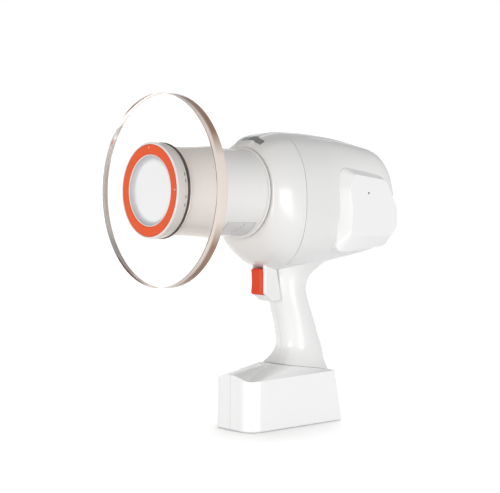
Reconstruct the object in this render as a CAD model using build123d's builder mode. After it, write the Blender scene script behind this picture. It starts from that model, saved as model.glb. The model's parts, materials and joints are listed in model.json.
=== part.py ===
from build123d import *
import os
from math import acos, copysign, cos, pi, radians, sin

# Handheld dental X-ray generator. Millimetres, +Z up, cone pointing towards -Y, device's left at +X.
# The origin is near the middle of the battery block's underside, on the plane that the device stands on.

os.makedirs("parts", exist_ok=True)

# ---- driving dimensions -------------------------------------------------------------------------
WALL = 3.0                  # casing wall of the head
GRIP_WALL = 2.8             # casing wall of the grip
SPLIT_GAP = 0.24            # parting gap between left and right mouldings
RUN_GAP = 0.3               # clearance between pieces that move past each other
OUTLINE_STEPS = 12          # steps down one side of a casing section

AXIS_Z = 209.6              # height of the beam axis
FRONT_Y = -141.5            # beam exit plane, 200 mm in front of the focal spot
FOCUS_Y = FRONT_Y + 200.0   # focal spot
BEAM_R = 30.0               # radius of the round X-ray field at the exit plane

TUBE_R = 38.25              # cone tube, outside
TUBE_WALL = 3.2
CAP_R = 40.0                # end cap, outside
CAP_BACK_Y = -128.0
RING_R = 38.4               # coloured target ring, outside
COLLAR_R = 40.4             # white ring at the root of the cone
SHIELD_R = 81.4             # scatter shield
SHIELD_FRONT_Y = -134.6
SHIELD_THICK = 11.3

DOME_FRONT_Y = -41.2        # front face of the front casing
DOME_DEPTH = 40.0           # depth of its quarter-ellipse profile
DOME_FRONT_R = 41.5
DOME_SLACK = 1.2            # above 1, the profile is leaner than a quarter ellipse
SEAM_Y = -10.0              # joint between front and rear casing
SEAM_GAP = 0.5
SEAM_HALF_WIDTH = 51.2
SEAM_TOP = 264.6
SEAM_BOTTOM = 140.5
SEAM_POWER = 2.3

COVER_FACE_X = 51.5         # outer face of the raised side covers
COVER_WALL = 2.2

PANEL_TILT = 24.0           # lean of the operator panel from the vertical
PANEL_Y = 107.8
PANEL_Z = 223.5
PANEL_W = 66.0
PANEL_H = 48.0
PANEL_R = 6.0
BEZEL_THICK = 2.0
DISPLAY_W = 50.0
DISPLAY_H = 25.0
DISPLAY_Y = 7.6
KEY_Y = -14.5
KEY_PITCH = 12.0
KEY_R = 4.2
KEY_NAMES = ["power_key", "down_key", "mode_key", "up_key", "ready_key"]

BASE_W = 54.0
BASE_LENGTH = 112.0         # at the underside
BASE_Y = 1.5                # middle of the underside
BASE_TOP_LENGTH = 102.8
BASE_TOP_Y = -3.0           # middle of the deck
BASE_R = 14.0               # front corners
BASE_REAR_R = 5.0
DECK_Z = 46.0
PAD_PROUD = 0.4             # non-slip pad below the battery block
PACK_WALL = 2.5
DECK_TILT = 1.5             # rise of the block's top edge towards the rear
SADDLE_FRONT = (-10.0, 56.2)    # tilted joint between grip and battery block, as (y, z)
SADDLE_REAR = (48.2, 47.8)

POD_FRONT_Y = -22.0
POD_HALF_W = 9.5
TRIGGER_FRONT_Y = -26.0
TRIGGER_BACK_Y = -12.5
TRIGGER_HALF_W = 6.4
TRIGGER_BOTTOM_Z = 118.6
TRIGGER_TOP_Z = 142.9       # at the front; the top slopes down to TRIGGER_BACK_TOP_Z
TRIGGER_BACK_TOP_Z = 139.3
STEM_Z = 131.5

CELL_R = 9.2
CELL_LENGTH = 65.2

# casing sections of the head behind the seam: y, half width, top z, bottom z, squareness
HEAD_SECTIONS = [
    (SEAM_Y + SEAM_GAP / 2, SEAM_HALF_WIDTH, SEAM_TOP, SEAM_BOTTOM, SEAM_POWER),
    (12.0, 48.8, 264.4, 141.4, 2.45),
    (35.0, 45.4, 263.2, 143.8, 2.7),
    (58.0, 44.8, 260.7, 148.2, 3.1),
    (78.0, 45.6, 257.0, 152.4, 3.6),
    (92.0, 46.2, 253.2, 155.8, 3.9),
    (103.0, 45.0, 246.6, 159.4, 3.6),
    (111.0, 41.6, 237.4, 163.6, 3.2),
    (117.0, 36.0, 226.0, 169.0, 2.8),
    (120.5, 28.0, 210.0, 176.0, 2.4),
]

# grip sections: z, middle y, half length, half width, squareness
GRIP_SECTIONS = [
    (42.0, 19.7, 30.6, 26.0, 6.0),
    (47.0, 19.7, 30.2, 24.2, 5.4),
    (52.0, 20.0, 29.2, 21.8, 4.6),
    (57.0, 22.4, 26.6, 19.8, 3.8),
    (63.0, 25.8, 23.2, 18.6, 3.2),
    (70.0, 27.3, 21.0, 17.9, 2.7),
    (82.0, 24.6, 19.8, 17.6, 2.35),
    (96.0, 20.5, 18.7, 17.4, 2.35),
    (111.0, 15.3, 17.6, 17.2, 2.35),
    (124.0, 12.5, 17.6, 17.2, 2.35),
    (134.0, 14.0, 20.0, 18.4, 2.35),
    (142.0, 18.2, 26.0, 21.5, 2.35),
    (150.0, 23.0, 31.4, 26.5, 2.35),
    (162.0, 24.0, 33.0, 29.0, 2.35),
]


# ---- helpers ------------------------------------------------------------------------------------
def power_curve(value, power):
    return copysign(abs(value) ** (2 / power), value)


def half_oval(half_u, half_v, middle_v, power):
    """Points down one side of a squarish oval, from its foot on u = 0 to its top."""
    points = [(0, middle_v - half_v)]
    for step in range(1, OUTLINE_STEPS):
        turn = pi * step / OUTLINE_STEPS
        u = half_u * power_curve(sin(turn), power)
        points.append((u, middle_v - half_v * power_curve(cos(turn), power)))
    return points + [(0, middle_v + half_v)]


def slope(rows, index, column):
    before = rows[max(index - 1, 0)]
    after = rows[min(index + 1, len(rows) - 1)]
    return (after[column] - before[column]) / (after[0] - before[0])


def refined(rows, spacing):
    """The same sections with smoothly blended ones between those further apart than spacing."""
    result = [rows[0]]
    for index in range(len(rows) - 1):
        start, end = rows[index], rows[index + 1]
        run = end[0] - start[0]
        parts = max(1, round(run / spacing))
        for part in range(1, parts + 1):
            t = part / parts
            row = [start[0] + run * t]
            for column in range(1, len(start)):
                value = (2 * t**3 - 3 * t**2 + 1) * start[column] + (3 * t**2 - 2 * t**3) * end[column]
                value += (t**3 - 2 * t**2 + t) * run * slope(rows, index, column)
                value += (t**3 - t**2) * run * slope(rows, index + 1, column)
                row.append(value)
            result.append(tuple(row))
    return result


def half_loft(sections):
    """Smooth solid on the +X side through half ovals given as (plane, points)."""
    with BuildPart() as body:
        for plane, points in sections:
            with BuildSketch(plane):
                with BuildLine():
                    Spline(*points, tangents=[(1, 0), (-1, 0)])
                    Line(points[-1], points[0])
                make_face()
        loft()
    return body.part


def whole(left_half):
    with BuildPart() as body:
        add(left_half)
        mirror(about=Plane.YZ)
    return body.part


def upright_section(y, half_width, top, bottom, power):
    middle = (top + bottom) / 2
    return Plane.XZ.offset(-y), half_oval(half_width, (top - bottom) / 2, middle, power)


def dome_half(inset):
    """Left half of the front casing as a solid, its surface moved inwards by inset."""
    end_turn = acos(1 - (SEAM_Y - SEAM_GAP / 2 - DOME_FRONT_Y) / DOME_DEPTH)
    steps = 7
    sections = []
    for step in range(steps + 1):
        turn = end_turn * step / steps
        rise = (sin(turn) / sin(end_turn)) ** DOME_SLACK
        y = DOME_FRONT_Y + DOME_DEPTH * (1 - cos(turn)) + inset
        half_width = DOME_FRONT_R + (SEAM_HALF_WIDTH - DOME_FRONT_R) * rise - inset
        top = AXIS_Z + DOME_FRONT_R + (SEAM_TOP - AXIS_Z - DOME_FRONT_R) * rise - inset
        bottom = AXIS_Z - DOME_FRONT_R - (AXIS_Z - DOME_FRONT_R - SEAM_BOTTOM) * rise + inset
        power = 2 + (SEAM_POWER - 2) * rise
        sections.append(upright_section(y, half_width, top, bottom, power))
    return half_loft(sections)


def panel_plane(height):
    """Plane of the operator panel, height above its outer face; local x runs towards -X."""
    lean = radians(PANEL_TILT)
    normal = (0, cos(lean), sin(lean))
    origin = (0, PANEL_Y + height * cos(lean), PANEL_Z + height * sin(lean))
    return Plane(origin=origin, x_dir=(-1, 0, 0), z_dir=normal)


def head_half(inset, panel_inset):
    """Left half of the head's rear casing as a solid, its surface moved inwards by inset."""
    rows = refined(HEAD_SECTIONS, 12.0)
    depth = rows[-1][0] - rows[0][0]
    sections = []
    for index, (y, half_width, top, bottom, power) in enumerate(rows):
        back = 1.5 if inset and index == 0 else inset * (y - rows[0][0]) / depth
        sections.append(
            upright_section(y - back, half_width - inset, top - inset, bottom + inset, power)
        )
    body = half_loft(sections)
    with BuildPart() as head:
        add(body)
        with BuildSketch(panel_plane(-panel_inset)):
            Rectangle(200, 200)
        extrude(amount=60, mode=Mode.SUBTRACT)
    return head.part


def grip_half(inset):
    """Left half of the pistol grip, reaching up into the head and down past its foot."""
    sections = []
    for z, middle, half_length, half_width, power in refined(GRIP_SECTIONS, 6.0):
        points = half_oval(half_width - inset, half_length - inset, middle, power)
        sections.append((Plane.XY.offset(z), points))
    return half_loft(sections)


def saddle_plane(height):
    """Tilted plane on which the grip's foot meets the battery block."""
    run = SADDLE_REAR[0] - SADDLE_FRONT[0]
    drop = SADDLE_FRONT[1] - SADDLE_REAR[1]
    normal = Vector(0, drop, run).normalized()
    middle = Vector(0, (SADDLE_REAR[0] + SADDLE_FRONT[0]) / 2, (SADDLE_REAR[1] + SADDLE_FRONT[1]) / 2)
    return Plane(origin=middle + normal * height, x_dir=(1, 0, 0), z_dir=normal)


def arch(y, half_width, foot_z, top_z):
    """Upright segment of a circle standing on a level chord."""
    with BuildSketch(Plane.XZ.offset(-y)) as shape:
        with BuildLine():
            ThreePointArc((-half_width, foot_z), (0, top_z), (half_width, foot_z))
            Line((half_width, foot_z), (-half_width, foot_z))
        make_face()
    return shape.sketch.faces()[0]


def block_outline(plane, length, middle_y, inset):
    """Outline of the battery block on a plane, its rear corners tighter than its front ones."""
    with BuildSketch(plane) as outline:
        with Locations((0, middle_y)):
            Rectangle(BASE_W - 2 * inset, length - 2 * inset)
        corners = outline.vertices().group_by(Axis.Y)
        fillet(corners[0], BASE_R - inset)
        fillet(corners[-1], BASE_REAR_R - inset)
    return outline.sketch.faces()[0]


def half(solid, side):
    """The left (+1) or right (-1) half of a moulding, half the parting gap short of the middle."""
    keep = Keep.TOP if side > 0 else Keep.BOTTOM
    with BuildPart() as piece:
        add(solid)
        split(bisect_by=Plane.YZ.offset(side * SPLIT_GAP / 2), keep=keep)
    return piece.part


def turned(points):
    """Solid of revolution about the beam axis from (radius, y) points."""
    with BuildPart() as body:
        with BuildSketch(Plane.XY.offset(AXIS_Z)):
            with BuildLine():
                Polyline(*points, close=True)
            make_face()
        revolve(axis=Axis((0, 0, AXIS_Z), (0, 1, 0)))
    return body.part


def tube(outer, inner, y_from, y_to):
    return turned([(inner, y_from), (outer, y_from), (outer, y_to), (inner, y_to)])


def save(name, part):
    part.label = name
    export_step(part, f"parts/{name}.step")
    print(name, round(part.volume))


# ---- cone ---------------------------------------------------------------------------------------
CAP_WEB_Y = -137.2
CAP_WEB_BACK_Y = -134.5
TUBE_BACK_Y = -21.0
FLANGE_R = 44.0
FLANGE_THICK = 3.0
FLANGE_SCREW_RING = 41.0
SCREW_R = 1.5
LABEL_FIELDS = [(-79.5, -67.0), (-65.4, -48.2)]
LABEL_ANGLES = (44.0, 76.0)
LABEL_DEPTH = 0.4
LABEL_GROOVE = 0.2
COLLAR_FRONT_Y = -44.0
SEAL_FRONT_Y = -42.8

save("cone_cap", turned([
    (26.0, CAP_WEB_Y), (RING_R + 0.1, CAP_WEB_Y), (RING_R + 0.1, FRONT_Y), (CAP_R - 0.8, FRONT_Y),
    (CAP_R, FRONT_Y + 0.8), (CAP_R, CAP_BACK_Y), (TUBE_R + 0.05, CAP_BACK_Y),
    (TUBE_R + 0.05, CAP_WEB_BACK_Y), (26.0, CAP_WEB_BACK_Y),
]))
save("target_ring", turned([
    (BEAM_R, CAP_WEB_Y), (BEAM_R, FRONT_Y + 0.7), (BEAM_R + 0.7, FRONT_Y), (RING_R - 0.7, FRONT_Y),
    (RING_R, FRONT_Y + 0.7), (RING_R, CAP_WEB_Y),
]))

with BuildPart() as beam_window:
    with BuildSketch(Plane.XY.offset(AXIS_Z)):
        with BuildLine():
            Polyline((28.6, -138.9), (28.9, -141.2), (29.9, -141.2), (29.9, CAP_WEB_Y), (0, CAP_WEB_Y))
            Line((0, CAP_WEB_Y), (0, -138.2))
            ThreePointArc((0, -138.2), (14.5, -138.4), (28.6, -138.9))
        make_face()
    revolve(axis=Axis((0, 0, AXIS_Z), (0, 1, 0)))
save("beam_window", beam_window.part)



def curved_plate(y_from, y_to, outer, inner, margin):
    """Plate bent round the cone between the label angles, which are below the horizontal."""
    with BuildPart() as plate:
        add(tube(outer, inner, y_from, y_to))
        for angle, keep in ((LABEL_ANGLES[0] - margin, Keep.BOTTOM), (LABEL_ANGLES[1] + margin, Keep.TOP)):
            turn = radians(angle)
            split(bisect_by=Plane(origin=(0, 0, AXIS_Z), z_dir=(sin(turn), 0, cos(turn))), keep=keep)
    return plate.part


with BuildPart() as cone_tube:
    add(turned([
        (TUBE_R - TUBE_WALL, CAP_WEB_BACK_Y), (TUBE_R, CAP_WEB_BACK_Y),
        (TUBE_R, TUBE_BACK_Y - FLANGE_THICK), (FLANGE_R, TUBE_BACK_Y - FLANGE_THICK),
        (FLANGE_R, TUBE_BACK_Y), (TUBE_R - TUBE_WALL, TUBE_BACK_Y),
    ]))
    for y_from, y_to in LABEL_FIELDS:
        ends = (y_from - LABEL_GROOVE, y_to + LABEL_GROOVE)
        add(curved_plate(*ends, TUBE_R + 1, TUBE_R - LABEL_DEPTH, 0.25), mode=Mode.SUBTRACT)
    with BuildSketch(Plane.XZ.offset(-TUBE_BACK_Y)):
        with Locations((0, AXIS_Z)):
            with PolarLocations(FLANGE_SCREW_RING, 4):
                Circle(SCREW_R + 0.05)
    extrude(amount=FLANGE_THICK, mode=Mode.SUBTRACT)
save("cone_tube", cone_tube.part)
save("cone_lining", tube(TUBE_R - TUBE_WALL - 0.05, TUBE_R - TUBE_WALL - 0.85, -134.2, TUBE_BACK_Y))
save("cone_collar", turned([
    (TUBE_R + 0.05, COLLAR_FRONT_Y), (COLLAR_R - 0.5, COLLAR_FRONT_Y), (COLLAR_R, COLLAR_FRONT_Y + 0.5),
    (COLLAR_R, SEAL_FRONT_Y), (TUBE_R + 0.05, SEAL_FRONT_Y),
]))
save("collar_seal", tube(39.5, TUBE_R + 0.05, SEAL_FRONT_Y, DOME_FRONT_Y))
with BuildPart() as cone_labels:
    for y_from, y_to in LABEL_FIELDS:
        add(curved_plate(y_from, y_to, TUBE_R - 0.03, TUBE_R - LABEL_DEPTH + 0.02, 0.0))
save("cone_labels", cone_labels.part)

# ---- scatter shield -----------------------------------------------------------------------------
SHIELD_BACK_Y = SHIELD_FRONT_Y + SHIELD_THICK
GASKET_BACK_Y = SHIELD_BACK_Y - 1.6
SHIELD_EDGE = 1.2
save("shield_disc", turned([
    (CAP_R + 0.4, SHIELD_FRONT_Y), (SHIELD_R - SHIELD_EDGE, SHIELD_FRONT_Y),
    (SHIELD_R, SHIELD_FRONT_Y + SHIELD_EDGE), (SHIELD_R, SHIELD_BACK_Y - SHIELD_EDGE),
    (SHIELD_R - SHIELD_EDGE, SHIELD_BACK_Y), (39.0, SHIELD_BACK_Y), (39.0, GASKET_BACK_Y),
    (CAP_R + 0.4, GASKET_BACK_Y),
]))
save("shield_gasket", tube(CAP_R + 0.4, TUBE_R + 0.05, CAP_BACK_Y + RUN_GAP, GASKET_BACK_Y))

# ---- front casing -------------------------------------------------------------------------------
dome_outer = whole(dome_half(0))
dome_inner = whole(dome_half(WALL))
LIP_GAP = 0.8
LIP_THICK = 1.4
LIP_LENGTH = 4.0


def seam_ring(outer_inset, inner_inset, y_from, y_to):
    """Left half of a ring inside the seam between the casings."""
    middle = (SEAM_TOP + SEAM_BOTTOM) / 2
    half_height = (SEAM_TOP - SEAM_BOTTOM) / 2
    with BuildPart() as ring:
        for inset, mode in ((outer_inset, Mode.ADD), (inner_inset, Mode.SUBTRACT)):
            points = half_oval(SEAM_HALF_WIDTH - inset, half_height - inset, middle, SEAM_POWER)
            with BuildSketch(Plane.XZ.offset(-y_from)):
                with BuildLine():
                    Spline(*points, tangents=[(1, 0), (-1, 0)])
                    Line(points[-1], points[0])
                make_face()
            extrude(amount=y_from - y_to, mode=mode)
    return ring.part


LIP_FRONT_Y = SEAM_Y - LIP_LENGTH
LIP_INNER = WALL + LIP_GAP + LIP_THICK
lip_root = whole(seam_ring(WALL - 0.5, LIP_INNER, LIP_FRONT_Y, SEAM_Y - SEAM_GAP / 2))
lip = whole(seam_ring(WALL + LIP_GAP, LIP_INNER, LIP_FRONT_Y, SEAM_Y + LIP_LENGTH))
with BuildPart() as front_casing:
    add(dome_outer)
    add(dome_inner, mode=Mode.SUBTRACT)
    add(lip_root)
    add(lip)
    with BuildSketch(Plane.XZ.offset(60)):
        with Locations((0, AXIS_Z)):
            Circle(TUBE_R + 0.05)
    extrude(amount=-30, mode=Mode.SUBTRACT)
save("front_casing", front_casing.part)

# ---- rear casing with grip ----------------------------------------------------------------------
head_left = head_half(0, 0)
head_inner = head_half(WALL, BEZEL_THICK + 2.6)
grip_left = grip_half(0)
grip_inner = grip_half(GRIP_WALL)
head_outer = whole(head_left)
grip_outer = whole(grip_left)
SCREW_HEAD_R = 3.0
HEAD_HEIGHT = 2.4
BOSS_R = 3.6
# casing screws: y, z, and the x that the head seats on
SCREWS = [(8.5, 106.0, -12.4), (36.0, 90.0, -9.8), (4.0, 157.0, -31.0), (64.0, 158.0, -29.0)]


def screw_bars(radius, x_from, x_to):
    """Bars along X on the screws' axes; None stands for each screw's seat."""
    bars = []
    for y, z, seat in SCREWS:
        start = seat if x_from is None else x_from
        end = seat if x_to is None else x_to
        with BuildPart() as bar:
            with BuildSketch(Plane.YZ.offset(start)):
                with Locations((y, z)):
                    Circle(radius)
            extrude(amount=end - start)
        bars.append(bar.part)
    return bars


with BuildPart() as shell_envelope:
    add(head_left)
    add(grip_left)
with BuildPart() as bosses:
    for bar in screw_bars(BOSS_R, 0, 48):
        add(bar)
    add(shell_envelope.part, mode=Mode.INTERSECT)

with BuildPart() as rear_casing_left:
    add(shell_envelope.part)
    add(head_inner, mode=Mode.SUBTRACT)
    add(grip_inner, mode=Mode.SUBTRACT)
    add(bosses.part)
    with BuildSketch(saddle_plane(RUN_GAP)):
        Rectangle(120, 120)
    extrude(amount=-40, mode=Mode.SUBTRACT)
    with BuildSketch(panel_plane(-BEZEL_THICK)):
        RectangleRounded(PANEL_W + 0.2, PANEL_H + 0.2, PANEL_R)
    extrude(amount=20, mode=Mode.SUBTRACT)
    with BuildSketch(panel_plane(0)):
        RectangleRounded(PANEL_W - 6, PANEL_H - 6, PANEL_R - 3)
    extrude(amount=-12, mode=Mode.SUBTRACT)
    with BuildSketch(Plane.XZ.offset(12)):
        with Locations((0, STEM_Z)):
            Circle(2.6)
    extrude(amount=-15, mode=Mode.SUBTRACT)
    split(bisect_by=Plane.YZ.offset(SPLIT_GAP / 2), keep=Keep.TOP)

with BuildPart() as rear_casing_right:
    add(mirror(rear_casing_left.part, about=Plane.YZ))
    for bar in screw_bars(SCREW_HEAD_R + 0.2, -60, None) + screw_bars(SCREW_R + 0.05, None, 1):
        add(bar, mode=Mode.SUBTRACT)
with BuildPart() as drilled_left:
    add(rear_casing_left.part)
    for bar in screw_bars(SCREW_R + 0.05, -1, 7.5):
        add(bar, mode=Mode.SUBTRACT)
save("rear_casing_left", drilled_left.part)
save("rear_casing_right", rear_casing_right.part)

with BuildPart() as casing_screws:
    for (y, z, seat), shank in zip(SCREWS, screw_bars(SCREW_R, None, 7)):
        add(shank)
        with BuildSketch(Plane.YZ.offset(seat)):
            with Locations((y, z)):
                Circle(SCREW_HEAD_R)
        extrude(amount=-HEAD_HEIGHT)
        with BuildSketch(Plane.YZ.offset(seat - HEAD_HEIGHT)):
            with Locations((y, z)):
                RegularPolygon(1.4, 6)
        extrude(amount=1.4, mode=Mode.SUBTRACT)
save("casing_screws", casing_screws.part)

# ---- side covers --------------------------------------------------------------------------------
# corners as (y, z) with their rounding radius
COVER_ROOT = [
    ((32.5, 157), 6), ((35.5, 192), 60), ((33.5, 214), 14), ((40, 233.5), 8), ((92, 227.5), 14),
    ((108.5, 196), 14), ((109, 178), 10), ((97, 161.5), 12), ((50, 157), 10),
]
COVER_FACE = [
    ((43.5, 173), 4), ((47, 194), 60), ((43, 214), 10), ((49, 227), 5), ((91, 222.5), 10),
    ((106, 198), 14), ((106.5, 180), 8), ((98, 171.5), 7), ((55, 171), 10),
]
COVER_SHOULDER_X = 44.0
COVER_FOOT_X = 30.0
LAMP_Y = 67.1
LAMP_Z = 210.2
LAMP_R = 1.0


def cover_outline(x, corners, inset):
    with BuildSketch(Plane.YZ.offset(x)) as outline:
        with BuildLine():
            Polyline(*[point for point, _ in corners], close=True)
        make_face()
        for (y, z), radius in corners:
            fillet(outline.vertices().sort_by_distance((y, z, 0))[0], radius)
        if inset:
            offset(amount=-inset, mode=Mode.REPLACE)
    return outline.sketch.faces()[0]


def cover_solid(inset):
    """Left side cover as a solid that reaches into the head."""
    root = cover_outline(COVER_SHOULDER_X, COVER_ROOT, inset)
    face = cover_outline(COVER_FACE_X - inset, COVER_FACE, inset)
    with BuildPart() as body:
        loft(sections=[root, face])
        if not inset:
            fillet(body.faces().sort_by(Axis.X)[-1].edges(), 1.0)
        extrude(to_extrude=root, amount=COVER_FOOT_X - COVER_SHOULDER_X)
    return body.part


cover_outer = cover_solid(0)
cover_inner = cover_solid(COVER_WALL)
with BuildPart() as right_cover:
    add(cover_outer)
    add(cover_inner, mode=Mode.SUBTRACT)
    add(head_outer, mode=Mode.SUBTRACT)
with BuildPart() as left_cover:
    add(right_cover.part)
    with BuildSketch(Plane.YZ.offset(COVER_FACE_X - COVER_WALL - 1)):
        with Locations((LAMP_Y, LAMP_Z)):
            Circle(LAMP_R + 0.05)
    extrude(amount=5, mode=Mode.SUBTRACT)
save("side_cover_left", left_cover.part)
save("side_cover_right", mirror(right_cover.part, about=Plane.YZ))

with BuildPart() as status_lamp:
    with BuildSketch(Plane.YZ.offset(COVER_FACE_X - COVER_WALL)):
        with Locations((LAMP_Y, LAMP_Z)):
            Circle(LAMP_R)
    extrude(amount=COVER_WALL + 0.2)
save("status_lamp", status_lamp.part)

# ---- label on the front casing's shoulder --------------------------------------------------------
with BuildPart() as shoulder_label:
    add(whole(dome_half(-0.25)))
    add(dome_outer, mode=Mode.SUBTRACT)
    with BuildSketch(Plane.XY.offset(AXIS_Z + 30)):
        with Locations((8, -35)):
            RectangleRounded(26, 5, 1)
    extrude(amount=40, mode=Mode.INTERSECT)
save("shoulder_label", shoulder_label.part)

# ---- operator panel -----------------------------------------------------------------------------
KEY_SPOTS = [((index - 2) * KEY_PITCH, KEY_Y) for index in range(len(KEY_NAMES))]
with BuildPart() as panel_bezel:
    with BuildSketch(panel_plane(0)):
        RectangleRounded(PANEL_W, PANEL_H, PANEL_R)
        with Locations((0, DISPLAY_Y)):
            RectangleRounded(DISPLAY_W, DISPLAY_H, 2, mode=Mode.SUBTRACT)
        with Locations(*KEY_SPOTS):
            Circle(KEY_R + RUN_GAP, mode=Mode.SUBTRACT)
    extrude(amount=-BEZEL_THICK)
save("panel_bezel", panel_bezel.part)

with BuildPart() as display_window:
    with BuildSketch(panel_plane(-0.2)):
        with Locations((0, DISPLAY_Y)):
            RectangleRounded(DISPLAY_W - 0.1, DISPLAY_H - 0.1, 2)
    extrude(amount=-1.5)
save("display_window", display_window.part)

with BuildPart() as display_module:
    with BuildSketch(panel_plane(-BEZEL_THICK - 0.1)):
        with Locations((0, DISPLAY_Y)):
            Rectangle(DISPLAY_W + 4, DISPLAY_H + 0.6)
    extrude(amount=-4)
save("display_module", display_module.part)

KEY_BOARD_TOP = -4.7
SWITCH_HEIGHT = 0.6
KEY_FLANGE_TOP = -BEZEL_THICK - 0.2
KEY_FLANGE_THICK = 0.9
with BuildPart() as key_board:
    with BuildSketch(panel_plane(KEY_BOARD_TOP)):
        with Locations((0, KEY_Y)):
            Rectangle(PANEL_W - 7, 11.5)
    extrude(amount=-1.6)
save("key_board", key_board.part)
with BuildPart() as key_switches:
    with BuildSketch(panel_plane(KEY_BOARD_TOP)):
        with Locations(*KEY_SPOTS):
            Circle(2.4)
    extrude(amount=SWITCH_HEIGHT)
save("key_switches", key_switches.part)



def panel_height(shape):
    return panel_plane(0).to_local_coords(shape.center()).Z


for name, spot in zip(KEY_NAMES, KEY_SPOTS):
    with BuildPart() as key:
        with BuildSketch(panel_plane(KEY_FLANGE_TOP - KEY_FLANGE_THICK)):
            with Locations(spot):
                Circle(KEY_R + 0.9)
        extrude(amount=KEY_FLANGE_THICK)
        with BuildSketch(panel_plane(KEY_FLANGE_TOP - KEY_FLANGE_THICK)):
            with Locations(spot):
                Circle(KEY_R)
        extrude(amount=1.0 - KEY_FLANGE_TOP + KEY_FLANGE_THICK)
        rims = key.edges().filter_by(GeomType.CIRCLE)
        fillet(rims.group_by(panel_height)[-1], 0.6)
    save(name, key.part)

# ---- trigger ------------------------------------------------------------------------------------
# corners of the pod's side as (y, z) with their rounding radius
POD_TOP_Z = 147.0
POD_SIDE = [
    ((-8.8, POD_TOP_Z), 0), ((POD_FRONT_Y, POD_TOP_Z), 0), ((POD_FRONT_Y, 119.8), 2.2),
    ((-12.5, 112.3), 2.5), ((-1.4, 112.6), 3),
]
SLOT_BACK_Y = -8.2
SLOT_TOP_Z = 160.0
SPRING_POCKET = 5.0
STEM_R = 2.0
seam_filler = whole(seam_ring(0, 20, SEAM_Y - SEAM_GAP, SEAM_Y + SEAM_GAP))
with BuildPart() as trigger_pod:
    with BuildSketch(Plane.YZ.offset(-POD_HALF_W)) as outline:
        with BuildLine():
            Polyline(*[point for point, _ in POD_SIDE], close=True)
        make_face()
        for (y, z), radius in POD_SIDE:
            if radius:
                fillet(outline.vertices().sort_by_distance((y, z, 0))[0], radius)
    extrude(amount=2 * POD_HALF_W)
    side_edges = trigger_pod.edges().filter_by(lambda edge: abs(edge.center().X) > POD_HALF_W - 0.01)
    fillet(side_edges.filter_by(lambda edge: edge.center().Z < POD_TOP_Z), 1.4)
    for neighbour in (dome_outer, head_outer, grip_outer, seam_filler):
        add(neighbour, mode=Mode.SUBTRACT)
    with BuildSketch(Plane.XZ.offset(-SLOT_BACK_Y)):
        with Locations((0, (TRIGGER_BOTTOM_Z - RUN_GAP + SLOT_TOP_Z) / 2)):
            Rectangle(2 * (TRIGGER_HALF_W + RUN_GAP), SLOT_TOP_Z - TRIGGER_BOTTOM_Z + RUN_GAP)
    extrude(amount=30, mode=Mode.SUBTRACT)
    with BuildSketch(Plane.XZ.offset(12)):
        with Locations((0, STEM_Z)):
            Circle(STEM_R + 0.08)
    extrude(amount=-16, mode=Mode.SUBTRACT)
save("trigger_pod", trigger_pod.part.solids().sort_by(SortBy.VOLUME)[-1])

with BuildPart() as trigger:
    with BuildSketch(Plane.YZ.offset(-TRIGGER_HALF_W)) as outline:
        with BuildLine():
            ThreePointArc((TRIGGER_FRONT_Y, TRIGGER_BOTTOM_Z), (TRIGGER_FRONT_Y + 1.1, STEM_Z),
                          (TRIGGER_FRONT_Y, TRIGGER_TOP_Z))
            Polyline((TRIGGER_FRONT_Y, TRIGGER_TOP_Z), (TRIGGER_BACK_Y, TRIGGER_BACK_TOP_Z),
                     (TRIGGER_BACK_Y, TRIGGER_BOTTOM_Z), (TRIGGER_FRONT_Y, TRIGGER_BOTTOM_Z))
        make_face()
        fillet(outline.vertices().sort_by(Axis.X)[0:2], 2.2)
    extrude(amount=2 * TRIGGER_HALF_W)
    side_edges = trigger.edges().filter_by(lambda edge: abs(edge.center().X) > TRIGGER_HALF_W - 0.01)
    fillet(side_edges.filter_by(lambda edge: edge.center().Y < -23.5), 1.5)
    with BuildSketch(Plane.XZ.offset(-TRIGGER_BACK_Y)):
        with Locations((0, STEM_Z)):
            Circle(3.7)
            Circle(STEM_R, mode=Mode.SUBTRACT)
    extrude(amount=SPRING_POCKET, mode=Mode.SUBTRACT)
    with BuildSketch(Plane.XZ.offset(-TRIGGER_BACK_Y)):
        with Locations((0, STEM_Z)):
            Circle(STEM_R)
    extrude(amount=-9.0)
save("trigger", trigger.part)


def coil(radius, wire_r, y_from, y_to, z, turns):
    """Compression spring along Y on the middle plane."""
    height = y_to - y_from - 2 * wire_r
    with BuildPart() as spring:
        with BuildLine():
            helix = Helix(pitch=height / turns, height=height, radius=radius,
                          center=(0, y_from + wire_r, z), direction=(0, 1, 0))
        with BuildSketch(Plane(origin=helix @ 0, z_dir=helix % 0)):
            Circle(wire_r)
        sweep(path=helix, is_frenet=True)
    return spring.part


POCKET_FLOOR_Y = TRIGGER_BACK_Y - SPRING_POCKET
save("trigger_spring", coil(2.9, 0.3, POCKET_FLOOR_Y + 0.05, SLOT_BACK_Y - 0.05, STEM_Z, 5.0))

with BuildPart() as trigger_switch:
    with BuildSketch(Plane.XZ.offset(-0.5)):
        with Locations((0, STEM_Z)):
            RectangleRounded(10, 11, 1)
    extrude(amount=-9)
save("trigger_switch", trigger_switch.part)
with BuildPart() as trigger_board:
    with BuildSketch(Plane.XZ.offset(-9.5)):
        with Locations((0, 134)):
            Rectangle(27, 30)
    extrude(amount=-1.6)
save("trigger_board", trigger_board.part)

# ---- X-ray generator ----------------------------------------------------------------------------
TANK_FRONT_Y = 6.0
TANK_BACK_Y = 82.0
TANK_W = 66.0
TANK_BOTTOM_Z = 173.0
TANK_TOP_Z = 243.0
TANK_WALL = 3.0
TANK_MIDDLE_Z = (TANK_TOP_Z + TANK_BOTTOM_Z) / 2
TANK_H = TANK_TOP_Z - TANK_BOTTOM_Z
PORT_R = 12.0

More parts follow.
